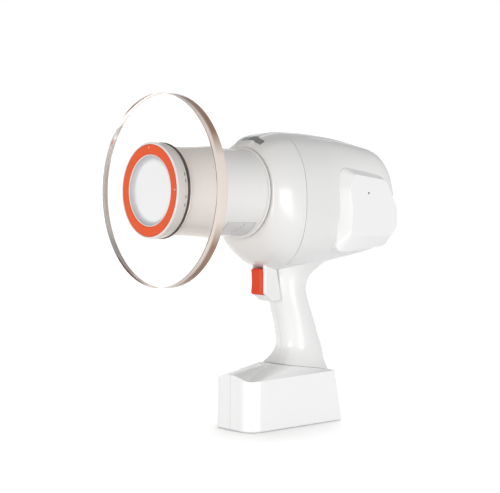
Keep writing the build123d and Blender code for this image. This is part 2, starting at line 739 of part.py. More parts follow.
with BuildPart() as generator_tank:
    with BuildSketch(Plane.XZ.offset(-TANK_FRONT_Y)):
        with Locations((0, TANK_MIDDLE_Z)):
            RectangleRounded(TANK_W, TANK_H, 6)
    extrude(amount=-(TANK_BACK_Y - TANK_FRONT_Y))
    with BuildSketch(Plane.XZ.offset(-TANK_FRONT_Y - TANK_WALL)):
        with Locations((0, TANK_MIDDLE_Z)):
            RectangleRounded(TANK_W - 2 * TANK_WALL, TANK_H - 2 * TANK_WALL, 3)
    extrude(amount=-(TANK_BACK_Y - TANK_FRONT_Y), mode=Mode.SUBTRACT)
    with BuildSketch(Plane.XZ.offset(-TANK_FRONT_Y)):
        with Locations((0, AXIS_Z)):
            Circle(PORT_R + 0.05)
    extrude(amount=-TANK_WALL, mode=Mode.SUBTRACT)
save("generator_tank", generator_tank.part)

with BuildPart() as tank_lid:
    with BuildSketch(Plane.XZ.offset(-TANK_BACK_Y)):
        with Locations((0, TANK_MIDDLE_Z)):
            RectangleRounded(TANK_W, TANK_H, 6)
    extrude(amount=-2.5)
    with BuildSketch(Plane.XZ.offset(-TANK_BACK_Y + 2)):
        with Locations((0, TANK_MIDDLE_Z)):
            RectangleRounded(TANK_W - 2 * TANK_WALL - 0.2, TANK_H - 2 * TANK_WALL - 0.2, 2.9)
    extrude(amount=-2)
save("tank_lid", tank_lid.part)

save("aluminium_filter", turned([(0, 6.2), (PORT_R, 6.2), (PORT_R, 8.0), (0, 8.0)]))
APERTURE_R = BEAM_R * (FOCUS_Y - 3.5) / 200.0
save("collimator_plate", tube(30.0, APERTURE_R, 1.2, TANK_FRONT_Y))

ENVELOPE_R = 15.0
ENVELOPE_HALF = 27.5
GLASS = 1.2
focus_plane = Plane(origin=(0, FOCUS_Y, AXIS_Z), x_dir=(0, 1, 0), z_dir=(1, 0, 0))
END_DISC = 3.0
with BuildPart() as tube_envelope:
    with BuildSketch(focus_plane.offset(-ENVELOPE_HALF)):
        Circle(ENVELOPE_R)
        Circle(ENVELOPE_R - GLASS, mode=Mode.SUBTRACT)
    extrude(amount=2 * ENVELOPE_HALF)
save("tube_envelope", tube_envelope.part)

with BuildPart() as tube_anode:
    with BuildSketch(focus_plane.offset(-2)):
        Circle(8)
    extrude(amount=ENVELOPE_HALF + 2)
    with BuildSketch(Plane(origin=(0, FOCUS_Y, AXIS_Z), x_dir=(0, 0, 1),
                           z_dir=(-cos(radians(20)), -sin(radians(20)), 0))):
        Rectangle(40, 40)
    extrude(amount=20, mode=Mode.SUBTRACT)
    with BuildSketch(focus_plane.offset(ENVELOPE_HALF - END_DISC)):
        Circle(ENVELOPE_R - GLASS - 0.05)
    extrude(amount=END_DISC)
save("tube_anode", tube_anode.part)
with BuildPart() as tube_cathode:
    with BuildSketch(focus_plane.offset(-ENVELOPE_HALF)):
        Circle(7)
    extrude(amount=14)
    with BuildSketch(focus_plane.offset(-ENVELOPE_HALF)):
        Circle(ENVELOPE_R - GLASS - 0.05)
    extrude(amount=END_DISC)
    with BuildSketch(focus_plane.offset(-ENVELOPE_HALF + 12)):
        Rectangle(8, 3)
    extrude(amount=2, mode=Mode.SUBTRACT)
save("tube_cathode", tube_cathode.part)

CRADLE_TOP_Z = AXIS_Z - 2
with BuildPart() as tube_cradle:
    with BuildSketch(Plane.XY.offset(TANK_BOTTOM_Z + TANK_WALL)):
        with Locations((0, FOCUS_Y)):
            Rectangle(36, 34)
    extrude(amount=CRADLE_TOP_Z - TANK_BOTTOM_Z - TANK_WALL)
    with BuildSketch(focus_plane.offset(-30)):
        Circle(ENVELOPE_R + 0.05)
    extrude(amount=60, mode=Mode.SUBTRACT)
save("tube_cradle", tube_cradle.part)

with BuildPart() as voltage_board:
    with BuildSketch(Plane.XY.offset(233)):
        with Locations((0, 45)):
            Rectangle(58, 66)
    extrude(amount=1.6)
save("voltage_board", voltage_board.part)
with BuildPart() as voltage_capacitors:
    with BuildSketch(Plane.XY.offset(233)):
        with Locations((0, 24)):
            with GridLocations(12, 14, 5, 2):
                Circle(4)
    extrude(amount=-12)
save("voltage_capacitors", voltage_capacitors.part)

POST_SPREAD = 25.5
with BuildPart() as chassis_frame:
    with BuildSketch(Plane.XZ.offset(-TUBE_BACK_Y)):
        with Locations((0, AXIS_Z)):
            Circle(FLANGE_R)
            Circle(34.0, mode=Mode.SUBTRACT)
            with PolarLocations(FLANGE_SCREW_RING, 4):
                Circle(SCREW_R + 0.05, mode=Mode.SUBTRACT)
    extrude(amount=-FLANGE_THICK)
    with BuildSketch(Plane.XZ.offset(-TUBE_BACK_Y)):
        with Locations((0, AXIS_Z)):
            with GridLocations(2 * POST_SPREAD, 2 * POST_SPREAD, 2, 2):
                Circle(4)
    extrude(amount=-(TANK_FRONT_Y - TUBE_BACK_Y))
save("chassis_frame", chassis_frame.part)
with BuildPart() as flange_screws:
    for radius, y_from, y_to in (
        (SCREW_R, TUBE_BACK_Y - FLANGE_THICK, TUBE_BACK_Y + FLANGE_THICK),
        (SCREW_HEAD_R, TUBE_BACK_Y + FLANGE_THICK, TUBE_BACK_Y + FLANGE_THICK + HEAD_HEIGHT),
    ):
        with BuildSketch(Plane.XZ.offset(-y_from)):
            with Locations((0, AXIS_Z)):
                with PolarLocations(FLANGE_SCREW_RING, 4):
                    Circle(radius)
        extrude(amount=y_from - y_to)
save("flange_screws", flange_screws.part)

# ---- control electronics ------------------------------------------------------------------------
with BuildPart() as control_board:
    with BuildSketch(Plane.XY.offset(164)):
        with Locations((0, 48)):
            Rectangle(54, 68)
    extrude(amount=1.6)
save("control_board", control_board.part)
with BuildPart() as board_components:
    with BuildSketch(Plane.XY.offset(165.6)):
        with Locations((-12, 34), (12, 34)):
            RectangleRounded(14, 14, 1)
        with Locations((0, 62)):
            with GridLocations(11, 12, 4, 2):
                Circle(3.5)
    extrude(amount=4)
save("board_components", board_components.part)
BLADE_SPOTS = [(-6.0, 27.5), (0.0, 27.5), (6.0, 27.5)]
TOWER_TOP_Z = 72.0
SOCKET_BOTTOM_Z = 74.0
SOCKET_TOP_Z = 86.0
with BuildPart() as socket_plate:
    with BuildSketch(Plane.XY.offset(SOCKET_TOP_Z - 3)):
        Rectangle(60, 120)
    extrude(amount=3)
    add(whole(grip_inner), mode=Mode.INTERSECT)
    split(bisect_by=Plane.XZ.offset(-38), keep=Keep.TOP)
with BuildPart() as battery_socket:
    add(socket_plate.part)
    with BuildSketch(Plane.XY.offset(SOCKET_BOTTOM_Z)):
        with Locations((0, 27.5)):
            RectangleRounded(21, 18, 2)
    extrude(amount=SOCKET_TOP_Z - SOCKET_BOTTOM_Z)
    with BuildSketch(Plane.XY.offset(SOCKET_BOTTOM_Z)):
        with Locations(*BLADE_SPOTS):
            Rectangle(1.2 + 2 * RUN_GAP, 8 + 2 * RUN_GAP)
    extrude(amount=9.4, mode=Mode.SUBTRACT)
save("battery_socket", battery_socket.part)

LEAD_R = 1.1
leads = []
for x in (3.0, -3.0):
    with BuildPart() as lead:
        with BuildLine() as route:
            FilletPolyline((x, 25.5, SOCKET_TOP_Z), (x, 21, 112), (x, 21, 140), (x, 30, 164), radius=20)
        with BuildSketch(Plane(origin=route.line @ 0, z_dir=route.line % 0)):
            Circle(LEAD_R)
        sweep(path=route.line)
        split(bisect_by=Plane.XY.offset(SOCKET_TOP_Z + 0.5), keep=Keep.TOP)
        split(bisect_by=Plane.XY.offset(163.6), keep=Keep.BOTTOM)
    leads.append(lead.part)
with BuildPart() as power_leads:
    for lead_part in leads:
        add(lead_part)
save("power_leads", power_leads.part)

# ---- battery pack -------------------------------------------------------------------------------
SADDLE_LENGTH = 59.6
SADDLE_FRONT_W = 39.6
SADDLE_REAR_W = 48.0
SADDLE_FRONT_R = 15.0
SADDLE_REAR_R = 5.0
CROWN_FRONT_Z = 48.9        # middle of the block's arched front top edge
PAD_RECESS = 0.8
PAD_OFFSET = 5.0
PAD_R = 9.0
FLOOR_Z = PAD_PROUD + PACK_WALL + 0.3
deck_plane = Plane(origin=(0, BASE_TOP_Y, DECK_Z), x_dir=(1, 0, 0),
                   z_dir=(0, -sin(radians(DECK_TILT)), cos(radians(DECK_TILT))))
deck = block_outline(deck_plane, BASE_TOP_LENGTH, 0, 0)
underside = block_outline(Plane.XY.offset(PAD_PROUD), BASE_LENGTH, BASE_Y, 0)
with BuildSketch(saddle_plane(0)) as saddle:
    with BuildLine():
        Polyline((-SADDLE_FRONT_W / 2, -SADDLE_LENGTH / 2), (SADDLE_FRONT_W / 2, -SADDLE_LENGTH / 2),
                 (SADDLE_REAR_W / 2, SADDLE_LENGTH / 2), (-SADDLE_REAR_W / 2, SADDLE_LENGTH / 2), close=True)
    make_face()
    saddle_corners = saddle.vertices().group_by(Axis.Y)
    fillet(saddle_corners[0], SADDLE_FRONT_R)
    fillet(saddle_corners[-1], SADDLE_REAR_R)
with BuildPart() as crown:
    loft(sections=[arch(-56, 24, 43, CROWN_FRONT_Z), arch(-12, 18, 46, SADDLE_FRONT[1] - 0.3)])
    add(extrude(to_extrude=block_outline(Plane.XY.offset(40), BASE_TOP_LENGTH, BASE_TOP_Y, 0), amount=20,
                mode=Mode.PRIVATE), mode=Mode.INTERSECT)
with BuildPart() as pack_block:
    loft(sections=[underside, deck])
    loft(sections=[deck, saddle.sketch.faces()[0]])
    add(crown.part)
    fillet(pack_block.faces().sort_by(Axis.Z)[0].edges(), 1.5)

with BuildPart() as pack_hollow:
    loft(sections=[
        block_outline(Plane.XY.offset(FLOOR_Z), BASE_LENGTH - 0.6, BASE_Y, PACK_WALL),
        block_outline(deck_plane.offset(-PACK_WALL), BASE_TOP_LENGTH, 0, PACK_WALL),
    ])

TOWER_W = 23.0
TOWER_LENGTH = 21.0
TOWER_Y = 27.5
BUTTON_Z = 30.0
BUTTON_W = 14.0
BUTTON_H = 9.0
CHARGE_Y = 35.0
CHARGE_SPOTS = [(-8.0, CHARGE_Y), (0.0, CHARGE_Y), (8.0, CHARGE_Y)]
with BuildPart() as pack_shell:
    add(pack_block.part)
    with BuildSketch(Plane.XY.offset(DECK_Z - 2)):
        with Locations((0, TOWER_Y)):
            RectangleRounded(TOWER_W, TOWER_LENGTH, 3)
    extrude(amount=TOWER_TOP_Z - DECK_Z + 2)
    add(pack_hollow.part, mode=Mode.SUBTRACT)
    with BuildSketch(Plane.XY.offset(DECK_Z - 6)):
        with Locations((0, TOWER_Y)):
            RectangleRounded(TOWER_W - 4, TOWER_LENGTH - 4, 1.5)
    extrude(amount=TOWER_TOP_Z - 2 - DECK_Z + 6, mode=Mode.SUBTRACT)
    with BuildSketch(Plane.XY.offset(TOWER_TOP_Z - 4)):
        with Locations(*BLADE_SPOTS):
            Rectangle(1.3, 8.1)
    extrude(amount=6, mode=Mode.SUBTRACT)
    with BuildSketch(Plane.XY):
        with Locations((0, BASE_Y)):
            RectangleRounded(BASE_W - 2 * PAD_OFFSET + 0.1, BASE_LENGTH - 2 * PAD_OFFSET + 0.1, PAD_R)
    extrude(amount=PAD_PROUD + PAD_RECESS, mode=Mode.SUBTRACT)
    with BuildSketch(Plane.XZ.offset(-60)):
        with Locations((0, BUTTON_Z)):
            RectangleRounded(BUTTON_W + 2 * RUN_GAP, BUTTON_H + 2 * RUN_GAP, 3)
    extrude(amount=20, mode=Mode.SUBTRACT)
    with BuildSketch(Plane.XY):
        with Locations(*CHARGE_SPOTS):
            Circle(3.05)
    extrude(amount=8, mode=Mode.SUBTRACT)
for name, side in (("pack_shell_left", 1), ("pack_shell_right", -1)):
    save(name, half(pack_shell.part, side))

with BuildPart() as base_pad:
    with BuildSketch(Plane.XY):
        with Locations((0, BASE_Y)):
            RectangleRounded(BASE_W - 2 * PAD_OFFSET, BASE_LENGTH - 2 * PAD_OFFSET, PAD_R - 0.05)
        with Locations((0, CHARGE_Y)):
            RectangleRounded(26, 9, 3, mode=Mode.SUBTRACT)
    extrude(amount=PAD_PROUD + PAD_RECESS)
save("base_pad", base_pad.part)

with BuildPart() as charging_contacts:
    with BuildSketch(Plane.XY.offset(PAD_PROUD + PAD_RECESS + 0.3)):
        with Locations(*CHARGE_SPOTS):
            Circle(3.0)
    extrude(amount=1.8)
save("charging_contacts", charging_contacts.part)

CELL_FRONT_Y = -29.0
CELL_SPOTS = [(x, z) for x in (-9.7, 9.7) for z in (14.0, 33.0)]
with BuildPart() as battery_cells:
    with BuildSketch(Plane.XZ.offset(-CELL_FRONT_Y)):
        with Locations(*CELL_SPOTS):
            Circle(CELL_R)
    extrude(amount=-CELL_LENGTH)
save("battery_cells", battery_cells.part)
with BuildPart() as cell_holder:
    for y in (CELL_FRONT_Y + 6, CELL_FRONT_Y + CELL_LENGTH - 9):
        with BuildSketch(Plane.XZ.offset(-y)):
            with Locations((0, 23.2)):
                RectangleRounded(44, 39, 4)
            with Locations(*CELL_SPOTS):
                Circle(CELL_R + 0.05, mode=Mode.SUBTRACT)
        extrude(amount=-3)
save("cell_holder", cell_holder.part)
with BuildPart() as battery_board:
    with BuildSketch(Plane.XZ.offset(-CELL_FRONT_Y + 2.6)):
        with Locations((0, 23.5)):
            Rectangle(40, 36)
    extrude(amount=1.6)
save("battery_board", battery_board.part)
with BuildPart() as contact_blades:
    with BuildSketch(Plane.XY.offset(TOWER_TOP_Z - 5)):
        with Locations(*BLADE_SPOTS):
            Rectangle(1.2, 8)
    extrude(amount=15)
save("contact_blades", contact_blades.part)

BUTTON_BACK_Y = 45.6
with BuildPart() as release_button:
    with BuildSketch(Plane.XZ.offset(-BUTTON_BACK_Y)):
        with Locations((0, BUTTON_Z)):
            RectangleRounded(BUTTON_W + 4, BUTTON_H + 4, 3)
    extrude(amount=-1.6)
    with BuildSketch(Plane.XZ.offset(-BUTTON_BACK_Y)):
        with Locations((0, BUTTON_Z)):
            RectangleRounded(BUTTON_W, BUTTON_H, 2.7)
    extrude(amount=-7.2)
    fillet(release_button.faces().sort_by(Axis.Y)[-1].edges(), 0.8)
save("release_button", release_button.part)
BRACKET_Y = 41.2
with BuildPart() as latch_bracket:
    with BuildSketch(Plane.XZ.offset(-BRACKET_Y)):
        with Locations((0, BUTTON_Z)):
            RectangleRounded(45.6, 16, 2)
    extrude(amount=-1.2)
save("latch_bracket", latch_bracket.part)
save("button_spring", coil(2.2, 0.25, BRACKET_Y + 1.25, BUTTON_BACK_Y - 0.05, BUTTON_Z, 3.0))
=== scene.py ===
import json
import math

import bmesh
import bpy
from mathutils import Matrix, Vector


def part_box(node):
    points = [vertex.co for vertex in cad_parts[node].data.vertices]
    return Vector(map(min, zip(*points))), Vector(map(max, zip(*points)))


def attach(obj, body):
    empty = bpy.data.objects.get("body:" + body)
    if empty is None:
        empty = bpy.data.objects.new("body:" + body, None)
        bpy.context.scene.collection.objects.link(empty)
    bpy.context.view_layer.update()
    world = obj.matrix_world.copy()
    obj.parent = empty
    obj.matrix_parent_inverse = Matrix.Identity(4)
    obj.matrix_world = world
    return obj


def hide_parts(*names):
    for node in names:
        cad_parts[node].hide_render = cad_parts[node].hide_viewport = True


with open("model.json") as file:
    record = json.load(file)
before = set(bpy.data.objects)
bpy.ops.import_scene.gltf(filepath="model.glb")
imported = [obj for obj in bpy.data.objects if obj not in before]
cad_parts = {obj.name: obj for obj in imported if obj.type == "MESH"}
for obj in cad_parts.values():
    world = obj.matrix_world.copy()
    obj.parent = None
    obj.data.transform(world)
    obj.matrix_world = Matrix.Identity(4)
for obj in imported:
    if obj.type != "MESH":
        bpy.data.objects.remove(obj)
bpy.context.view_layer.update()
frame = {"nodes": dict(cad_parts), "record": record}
RECORD = frame["record"]
NODES = frame["nodes"]

# Row frame, metres: +Z up, cone towards -Y, the device's left at +X.
CAMERA_AZIMUTH = 49.51      # degrees round the device from straight in front of the cone
CAMERA_ELEVATION = 1.15
CAMERA_DISTANCE = 1.0067
CAMERA_TARGET = (0.0, -0.0315, 0.1619)
CAMERA_LENS = 81.3


beam_low, beam_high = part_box("target_ring")
AXIS_Z = (beam_low.z + beam_high.z) / 2
PLATE_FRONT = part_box("shield_disc")[0].y


# ---- materials ----------------------------------------------------------------------------------
def shader(name):
    """A new material with one Principled node; returns the material, its tree and the node."""
    material = bpy.data.materials.new(name)
    material.use_nodes = True
    tree = material.node_tree
    return material, tree, tree.nodes["Principled BSDF"]


def node(tree, kind, **values):
    """A new node; each value goes to the socket of that name, or else to the node's own setting."""
    made = tree.nodes.new(kind)
    for key, value in values.items():
        if key in made.inputs:
            made.inputs[key].default_value = value
        else:
            setattr(made, key, value)
    return made


def noise(tree, scale, detail=3.0, roughness=0.5, stretch=(1, 1, 1)):
    """Fac of a noise in the row frame, scale in features per metre."""
    place = node(tree, "ShaderNodeTexCoord")
    spread = node(tree, "ShaderNodeMapping")
    spread.inputs["Scale"].default_value = stretch
    made = node(tree, "ShaderNodeTexNoise", Scale=scale, Detail=detail, Roughness=roughness)
    tree.links.new(place.outputs["Object"], spread.inputs["Vector"])
    tree.links.new(spread.outputs["Vector"], made.inputs["Vector"])
    return made.outputs["Fac"]


def ranged(tree, source, low, high, start=0.3, end=0.7):
    """The source's start to end stretched over low to high, and held there."""
    made = node(tree, "ShaderNodeMapRange")
    made.inputs["From Min"].default_value = start
    made.inputs["From Max"].default_value = end
    made.inputs["To Min"].default_value = low
    made.inputs["To Max"].default_value = high
    tree.links.new(source, made.inputs["Value"])
    return made.outputs["Result"]


def tinted(tree, source, dark, light):
    """Colour from dark to light as the source goes from 0 to 1."""
    made = node(tree, "ShaderNodeMix", data_type="RGBA")
    for socket in made.inputs:
        if socket.type == "RGBA":
            socket.default_value = (*(dark if socket.name == "A" else light), 1)
    tree.links.new(source, made.inputs["Factor"])
    return [s for s in made.outputs if s.type == "RGBA"][0]


def relief(tree, bsdf, source, height, strength=1.0):
    """Bump of the given height in metres from a 0-1 source."""
    made = node(tree, "ShaderNodeBump", Strength=strength, Distance=height)
    tree.links.new(source, made.inputs["Height"])
    tree.links.new(made.outputs["Normal"], bsdf.inputs["Normal"])


def moulded(
    name, colour, roughness, grain=900.0, depth=0.000002, coat=0.0, spread=0.006, metallic=0.0, shine=0.5
):
    """Moulded plastic, rubber or metal: fine grain, uneven gloss and a faint drift of colour."""
    material, tree, bsdf = shader(name)
    drift = ranged(tree, noise(tree, 9.0, 2.0), 0.0, 1.0)
    dark = [max(0.0, c * (1 - spread)) for c in colour]
    light = [min(1.0, c * (1 + spread)) for c in colour]
    tree.links.new(tinted(tree, drift, dark, light), bsdf.inputs["Base Color"])
    uneven = ranged(tree, noise(tree, 28.0, 2.0), roughness * 0.95, roughness * 1.05)
    tree.links.new(uneven, bsdf.inputs["Roughness"])
    relief(tree, bsdf, noise(tree, grain, 2.0), depth)
    bsdf.inputs["Metallic"].default_value = metallic
    bsdf.inputs["Coat Weight"].default_value = coat
    bsdf.inputs["Coat Roughness"].default_value = 0.06
    bsdf.inputs["Specular IOR Level"].default_value = shine
    return material


def clear(name, colour, alpha, roughness=0.03):
    """Thin clear cover that lets most of what lies behind it show."""
    material, tree, bsdf = shader(name)
    drift = ranged(tree, noise(tree, 12.0, 2.0), 0.0, 1.0)
    tree.links.new(tinted(tree, drift, [c * 0.98 for c in colour], colour), bsdf.inputs["Base Color"])
    bsdf.inputs["Alpha"].default_value = alpha
    uneven = ranged(tree, noise(tree, 80.0), roughness * 0.8, roughness * 1.2)
    tree.links.new(uneven, bsdf.inputs["Roughness"])
    bsdf.inputs["IOR"].default_value = 1.49
    return material


def thick_acrylic(name, colour, density):
    """Solid clear plastic that browns with depth; lamps and bounced light pass it unbent."""
    material, tree, bsdf = shader(name)
    bsdf.inputs["Base Color"].default_value = (1, 1, 1, 1)
    bsdf.inputs["Transmission Weight"].default_value = 1.0
    bsdf.inputs["IOR"].default_value = 1.28
    tree.links.new(ranged(tree, noise(tree, 40.0), 0.004, 0.02), bsdf.inputs["Roughness"])
    relief(tree, bsdf, noise(tree, 25.0, 1.0), 0.00001)
    path = node(tree, "ShaderNodeLightPath")
    either = node(tree, "ShaderNodeMath", operation="MAXIMUM")
    tree.links.new(path.outputs["Is Shadow Ray"], either.inputs[0])
    tree.links.new(path.outputs["Is Diffuse Ray"], either.inputs[1])
    open_shader = node(tree, "ShaderNodeBsdfTransparent", Color=(0.985, 0.975, 0.965, 1))
    mixed = node(tree, "ShaderNodeMixShader")
    tree.links.new(either.outputs["Value"], mixed.inputs["Fac"])
    tree.links.new(bsdf.outputs["BSDF"], mixed.inputs[1])
    tree.links.new(open_shader.outputs["BSDF"], mixed.inputs[2])
    tree.links.new(mixed.outputs["Shader"], tree.nodes["Material Output"].inputs["Surface"])
    depth = node(tree, "ShaderNodeVolumeAbsorption", Color=(*colour, 1), Density=density)
    tree.links.new(depth.outputs["Volume"], tree.nodes["Material Output"].inputs["Volume"])
    return material


def tint_and_painted_highlight(name, brown, highlight_cream, clearness, roughness=0.2):
    """Ground edge of tinted plastic, brown, with a painted cream highlight at mid height and along its
    front.
    """
    material, tree, bsdf = shader(name)
    place = node(tree, "ShaderNodeTexCoord")
    split = node(tree, "ShaderNodeSeparateXYZ")
    tree.links.new(place.outputs["Object"], split.inputs["Vector"])
    lifted = node(tree, "ShaderNodeMath", operation="SUBTRACT")
    tree.links.new(split.outputs["Z"], lifted.inputs[0])
    lifted.inputs[1].default_value = AXIS_Z
    away = node(tree, "ShaderNodeMath", operation="ABSOLUTE")
    tree.links.new(lifted.outputs["Value"], away.inputs[0])
    # painted cream highlight: it fades out between these heights from the beam axis, and between these
    # depths behind the plate's front
    fade_from, fade_to = 0.026, 0.046       # height above or below the beam axis
    front_from, front_to = 0.0032, 0.0052   # depth behind the plate's front
    middle = ranged(tree, away.outputs["Value"], 1.0, 0.0, fade_from, fade_to)
    lip = ranged(tree, split.outputs["Y"], 1.0, 0.0, PLATE_FRONT + front_from, PLATE_FRONT + front_to)
    both = node(tree, "ShaderNodeMath", operation="MAXIMUM")
    tree.links.new(middle, both.inputs[0])
    tree.links.new(lip, both.inputs[1])
    tree.links.new(tinted(tree, both.outputs["Value"], brown, highlight_cream), bsdf.inputs["Base Color"])
    uneven = ranged(tree, noise(tree, 120.0), roughness * 0.8, roughness)
    tree.links.new(uneven, bsdf.inputs["Roughness"])
    relief(tree, bsdf, noise(tree, 400.0, 2.0), 0.000003)
    bsdf.inputs["IOR"].default_value = 1.49
    open_shader = node(tree, "ShaderNodeBsdfTransparent", Color=(*[c**0.5 for c in brown], 1))
    mixed = node(tree, "ShaderNodeMixShader", Fac=clearness)
    tree.links.new(bsdf.outputs["BSDF"], mixed.inputs[1])
    tree.links.new(open_shader.outputs["BSDF"], mixed.inputs[2])
    tree.links.new(mixed.outputs["Shader"], tree.nodes["Material Output"].inputs["Surface"])
    return material


def printed(name, field, ink):
    """Printed label: a lighter field at one end, then a dark field with finer pale flecks."""
    material, tree, bsdf = shader(name)
    low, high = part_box("shoulder_label")
    place = node(tree, "ShaderNodeTexCoord")
    split = node(tree, "ShaderNodeSeparateXYZ")
    tree.links.new(place.outputs["Object"], split.inputs["Vector"])
    field_share, blend = 0.36, 0.0004
    border = low.x + (high.x - low.x) * field_share
    flecks = ranged(tree, noise(tree, 700.0, 1.0, stretch=(1, 0.5, 0.5)), 0.0, 0.45, 0.45, 0.62)
    ends = ranged(tree, split.outputs["X"], 1.0, 0.0, border, border + blend)
    both = node(tree, "ShaderNodeMath", operation="MAXIMUM")
    tree.links.new(flecks, both.inputs[0])
    tree.links.new(ends, both.inputs[1])
    tree.links.new(tinted(tree, both.outputs["Value"], ink, field), bsdf.inputs["Base Color"])
    tree.links.new(ranged(tree, noise(tree, 300.0), 0.38, 0.46), bsdf.inputs["Roughness"])
    relief(tree, bsdf, noise(tree, 260.0, 2.0), 0.0000015)
    return material


SMOOTH = {"grain": 260.0, "depth": 0.0000015}   # faint orange peel of a polished mould

FINISHES = {
    "white_casing": moulded("white_casing", (0.82, 0.82, 0.815), 0.24, coat=0.35, **SMOOTH),
    "window_white": moulded("window_white", (0.88, 0.885, 0.88), 0.5),
    "orange": moulded("orange", (0.80, 0.092, 0.014), 0.42, grain=260.0, shine=0.3),
    "trigger_orange": moulded("trigger_orange", (0.74, 0.048, 0.006), 0.4, grain=260.0, shine=0.3),
    "seal": moulded("seal", (0.065, 0.055, 0.05), 0.62, grain=2500.0, depth=0.00001),
    "collar_grey": moulded("collar_grey", (0.42, 0.42, 0.42), 0.55, grain=2500.0, depth=0.000005),
    "label_grey": moulded("label_grey", (0.24, 0.24, 0.25), 0.45),
    "lead_acrylic": thick_acrylic("lead_acrylic", (0.94, 0.76, 0.62), 22.0),
    "lamp": moulded("lamp", (0.20, 0.20, 0.21), 0.2, coat=0.5),
    "panel_grey": moulded("panel_grey", (0.11, 0.115, 0.125), 0.4, grain=1800.0, depth=0.00001),
    "display_glass": clear("display_glass", (0.03, 0.035, 0.045), 0.2),
    "display": moulded("display", (0.02, 0.025, 0.03), 0.35),
    "board_green": moulded("board_green", (0.015, 0.09, 0.035), 0.35, spread=0.1),
    "steel": moulded("steel", (0.56, 0.56, 0.57), 0.3, spread=0.03, metallic=1.0),
    "key_orange": moulded("key_orange", (0.75, 0.10, 0.02), 0.5, grain=1800.0, depth=0.000005),
    "key_grey": moulded("key_grey", (0.60, 0.60, 0.60), 0.5, grain=1800.0, depth=0.000005),
    "button_grey": moulded("button_grey", (0.36, 0.37, 0.38), 0.45),
    "black_plastic": moulded("black_plastic", (0.02, 0.02, 0.02), 0.5, grain=1800.0, depth=0.00001),
    "lead": moulded("lead", (0.18, 0.19, 0.20), 0.55, spread=0.08, metallic=1.0),
    "aluminium": moulded("aluminium", (0.70, 0.71, 0.73), 0.35, spread=0.03, metallic=1.0),
    "tube_glass": clear("tube_glass", (0.80, 0.88, 0.88), 0.3),
    "copper": moulded("copper", (0.70, 0.33, 0.18), 0.3, spread=0.05, metallic=1.0),
    "capacitor": moulded("capacitor", (0.03, 0.10, 0.32), 0.4),
    "lead_insulation": moulded("lead_insulation", (0.45, 0.02, 0.012), 0.5),
    "cell_wrap": moulded("cell_wrap", (0.03, 0.18, 0.09), 0.35),
    "brass": moulded("brass", (0.80, 0.58, 0.22), 0.31, spread=0.04, metallic=1.0),
}
# finer shades of the record's slots, for single nodes and for drawn details
SHADES = {
    # lighter copy of the casing white: painted light on the side covers and the battery pack shells
    "lighter_white_painted_light": moulded("lighter_white_painted_light", (0.90, 0.90, 0.898), 0.24, coat=0.35, **SMOOTH),
    # dark brown of the painted refraction crescents in the plate's edge
    "painted_refraction_brown": moulded("painted_refraction_brown", (0.20, 0.035, 0.012), 0.3, grain=260.0),
    # brown plate edge with a painted cream highlight at mid height and along its front
    "rim_brown_painted_highlight": tint_and_painted_highlight("rim_brown_painted_highlight", (0.43, 0.26, 0.175), (0.97, 0.88, 0.81), 0.2),
    "print_pale": moulded("print_pale", (0.72, 0.725, 0.725), 0.4),
    # mid grey for the cone's print ticks, and for the painted shadow in the casing seam
    "mid_grey_print_and_seam_shade": moulded("mid_grey_print_and_seam_shade", (0.36, 0.365, 0.37), 0.4),
    "print_dark": moulded("print_dark", (0.10, 0.10, 0.105), 0.4),
    "label_art": printed("label_art", (0.42, 0.43, 0.44), (0.19, 0.195, 0.20)),
    # darker grey of the dish's side wall: painted shade in the recess
    "wall_painted_shade_grey": moulded("wall_painted_shade_grey", (0.56, 0.565, 0.575), 0.5),
    "pin_silver": moulded("pin_silver", (0.80, 0.80, 0.78), 0.3),
    "glow_amber": moulded("glow_amber", (0.95, 0.42, 0.08), 0.4),
    "glow_white": moulded("glow_white", (0.75, 0.82, 0.85), 0.4),
}

# ---- CAD nodes ----------------------------------------------------------------------------------
SLOT_OF = {}
for part in RECORD["subparts"]:
    SLOT_OF[part["node"]] = part["material_slot"]
# side covers and pack shells take the lighter white, which paints light onto them; labels take print
FINER = {
    "side_cover_left": "lighter_white_painted_light", "side_cover_right": "lighter_white_painted_light",
    "cone_labels": "print_pale", "shoulder_label": "label_art",
    "pack_shell_left": "lighter_white_painted_light", "pack_shell_right": "lighter_white_painted_light",
}
for name, piece in NODES.items():
    piece.data.materials.clear()
    piece.data.materials.append(SHADES[FINER[name]] if name in FINER else FINISHES[SLOT_OF[name]])

# ---- mesh helpers -------------------------------------------------------------------------------
def new_piece(name, mesh, body, finish, *stands_for, shade=None):
    """Object from a bmesh, riding on a body, with a record slot's finish or a finer shade."""
    bmesh.ops.recalc_face_normals(mesh, faces=mesh.faces)
    data = bpy.data.meshes.new(name)
    mesh.to_mesh(data)
    mesh.free()
    piece = bpy.data.objects.new(name, data)
    bpy.context.scene.collection.objects.link(piece)
    data.materials.append(SHADES[shade] if shade else FINISHES[finish])
    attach(piece, body)
    if stands_for:
        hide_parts(*stands_for)


def joined(mesh, rows, closed=False, smooth=False):
    """Faces between neighbouring rows of vertices; a run that isn't closed gets a face at each end."""
    ahead = rows[1:] + rows[:1] if closed else rows[1:]
    for here, there in zip(rows, ahead):
        for index in range(len(here)):
            after = (index + 1) % len(here)
            mesh.faces.new((here[index], here[after], there[after], there[index])).smooth = smooth
    if not closed:
        mesh.faces.new(rows[0])
        mesh.faces.new(rows[-1])
    return mesh


def turned(profile, segments=192):
    """Surface of revolution about the beam axis from a closed loop of (radius, y)."""
    mesh = bmesh.new()
    rings = []
    for step in range(segments):
        turn = 2 * math.pi * step / segments
        ring = []
        for radius, y in profile:
            x, z = radius * math.sin(turn), AXIS_Z + radius * math.cos(turn)
            ring.append(mesh.verts.new((x, y, z)))
        rings.append(ring)
    return joined(mesh, rings, closed=True, smooth=True)


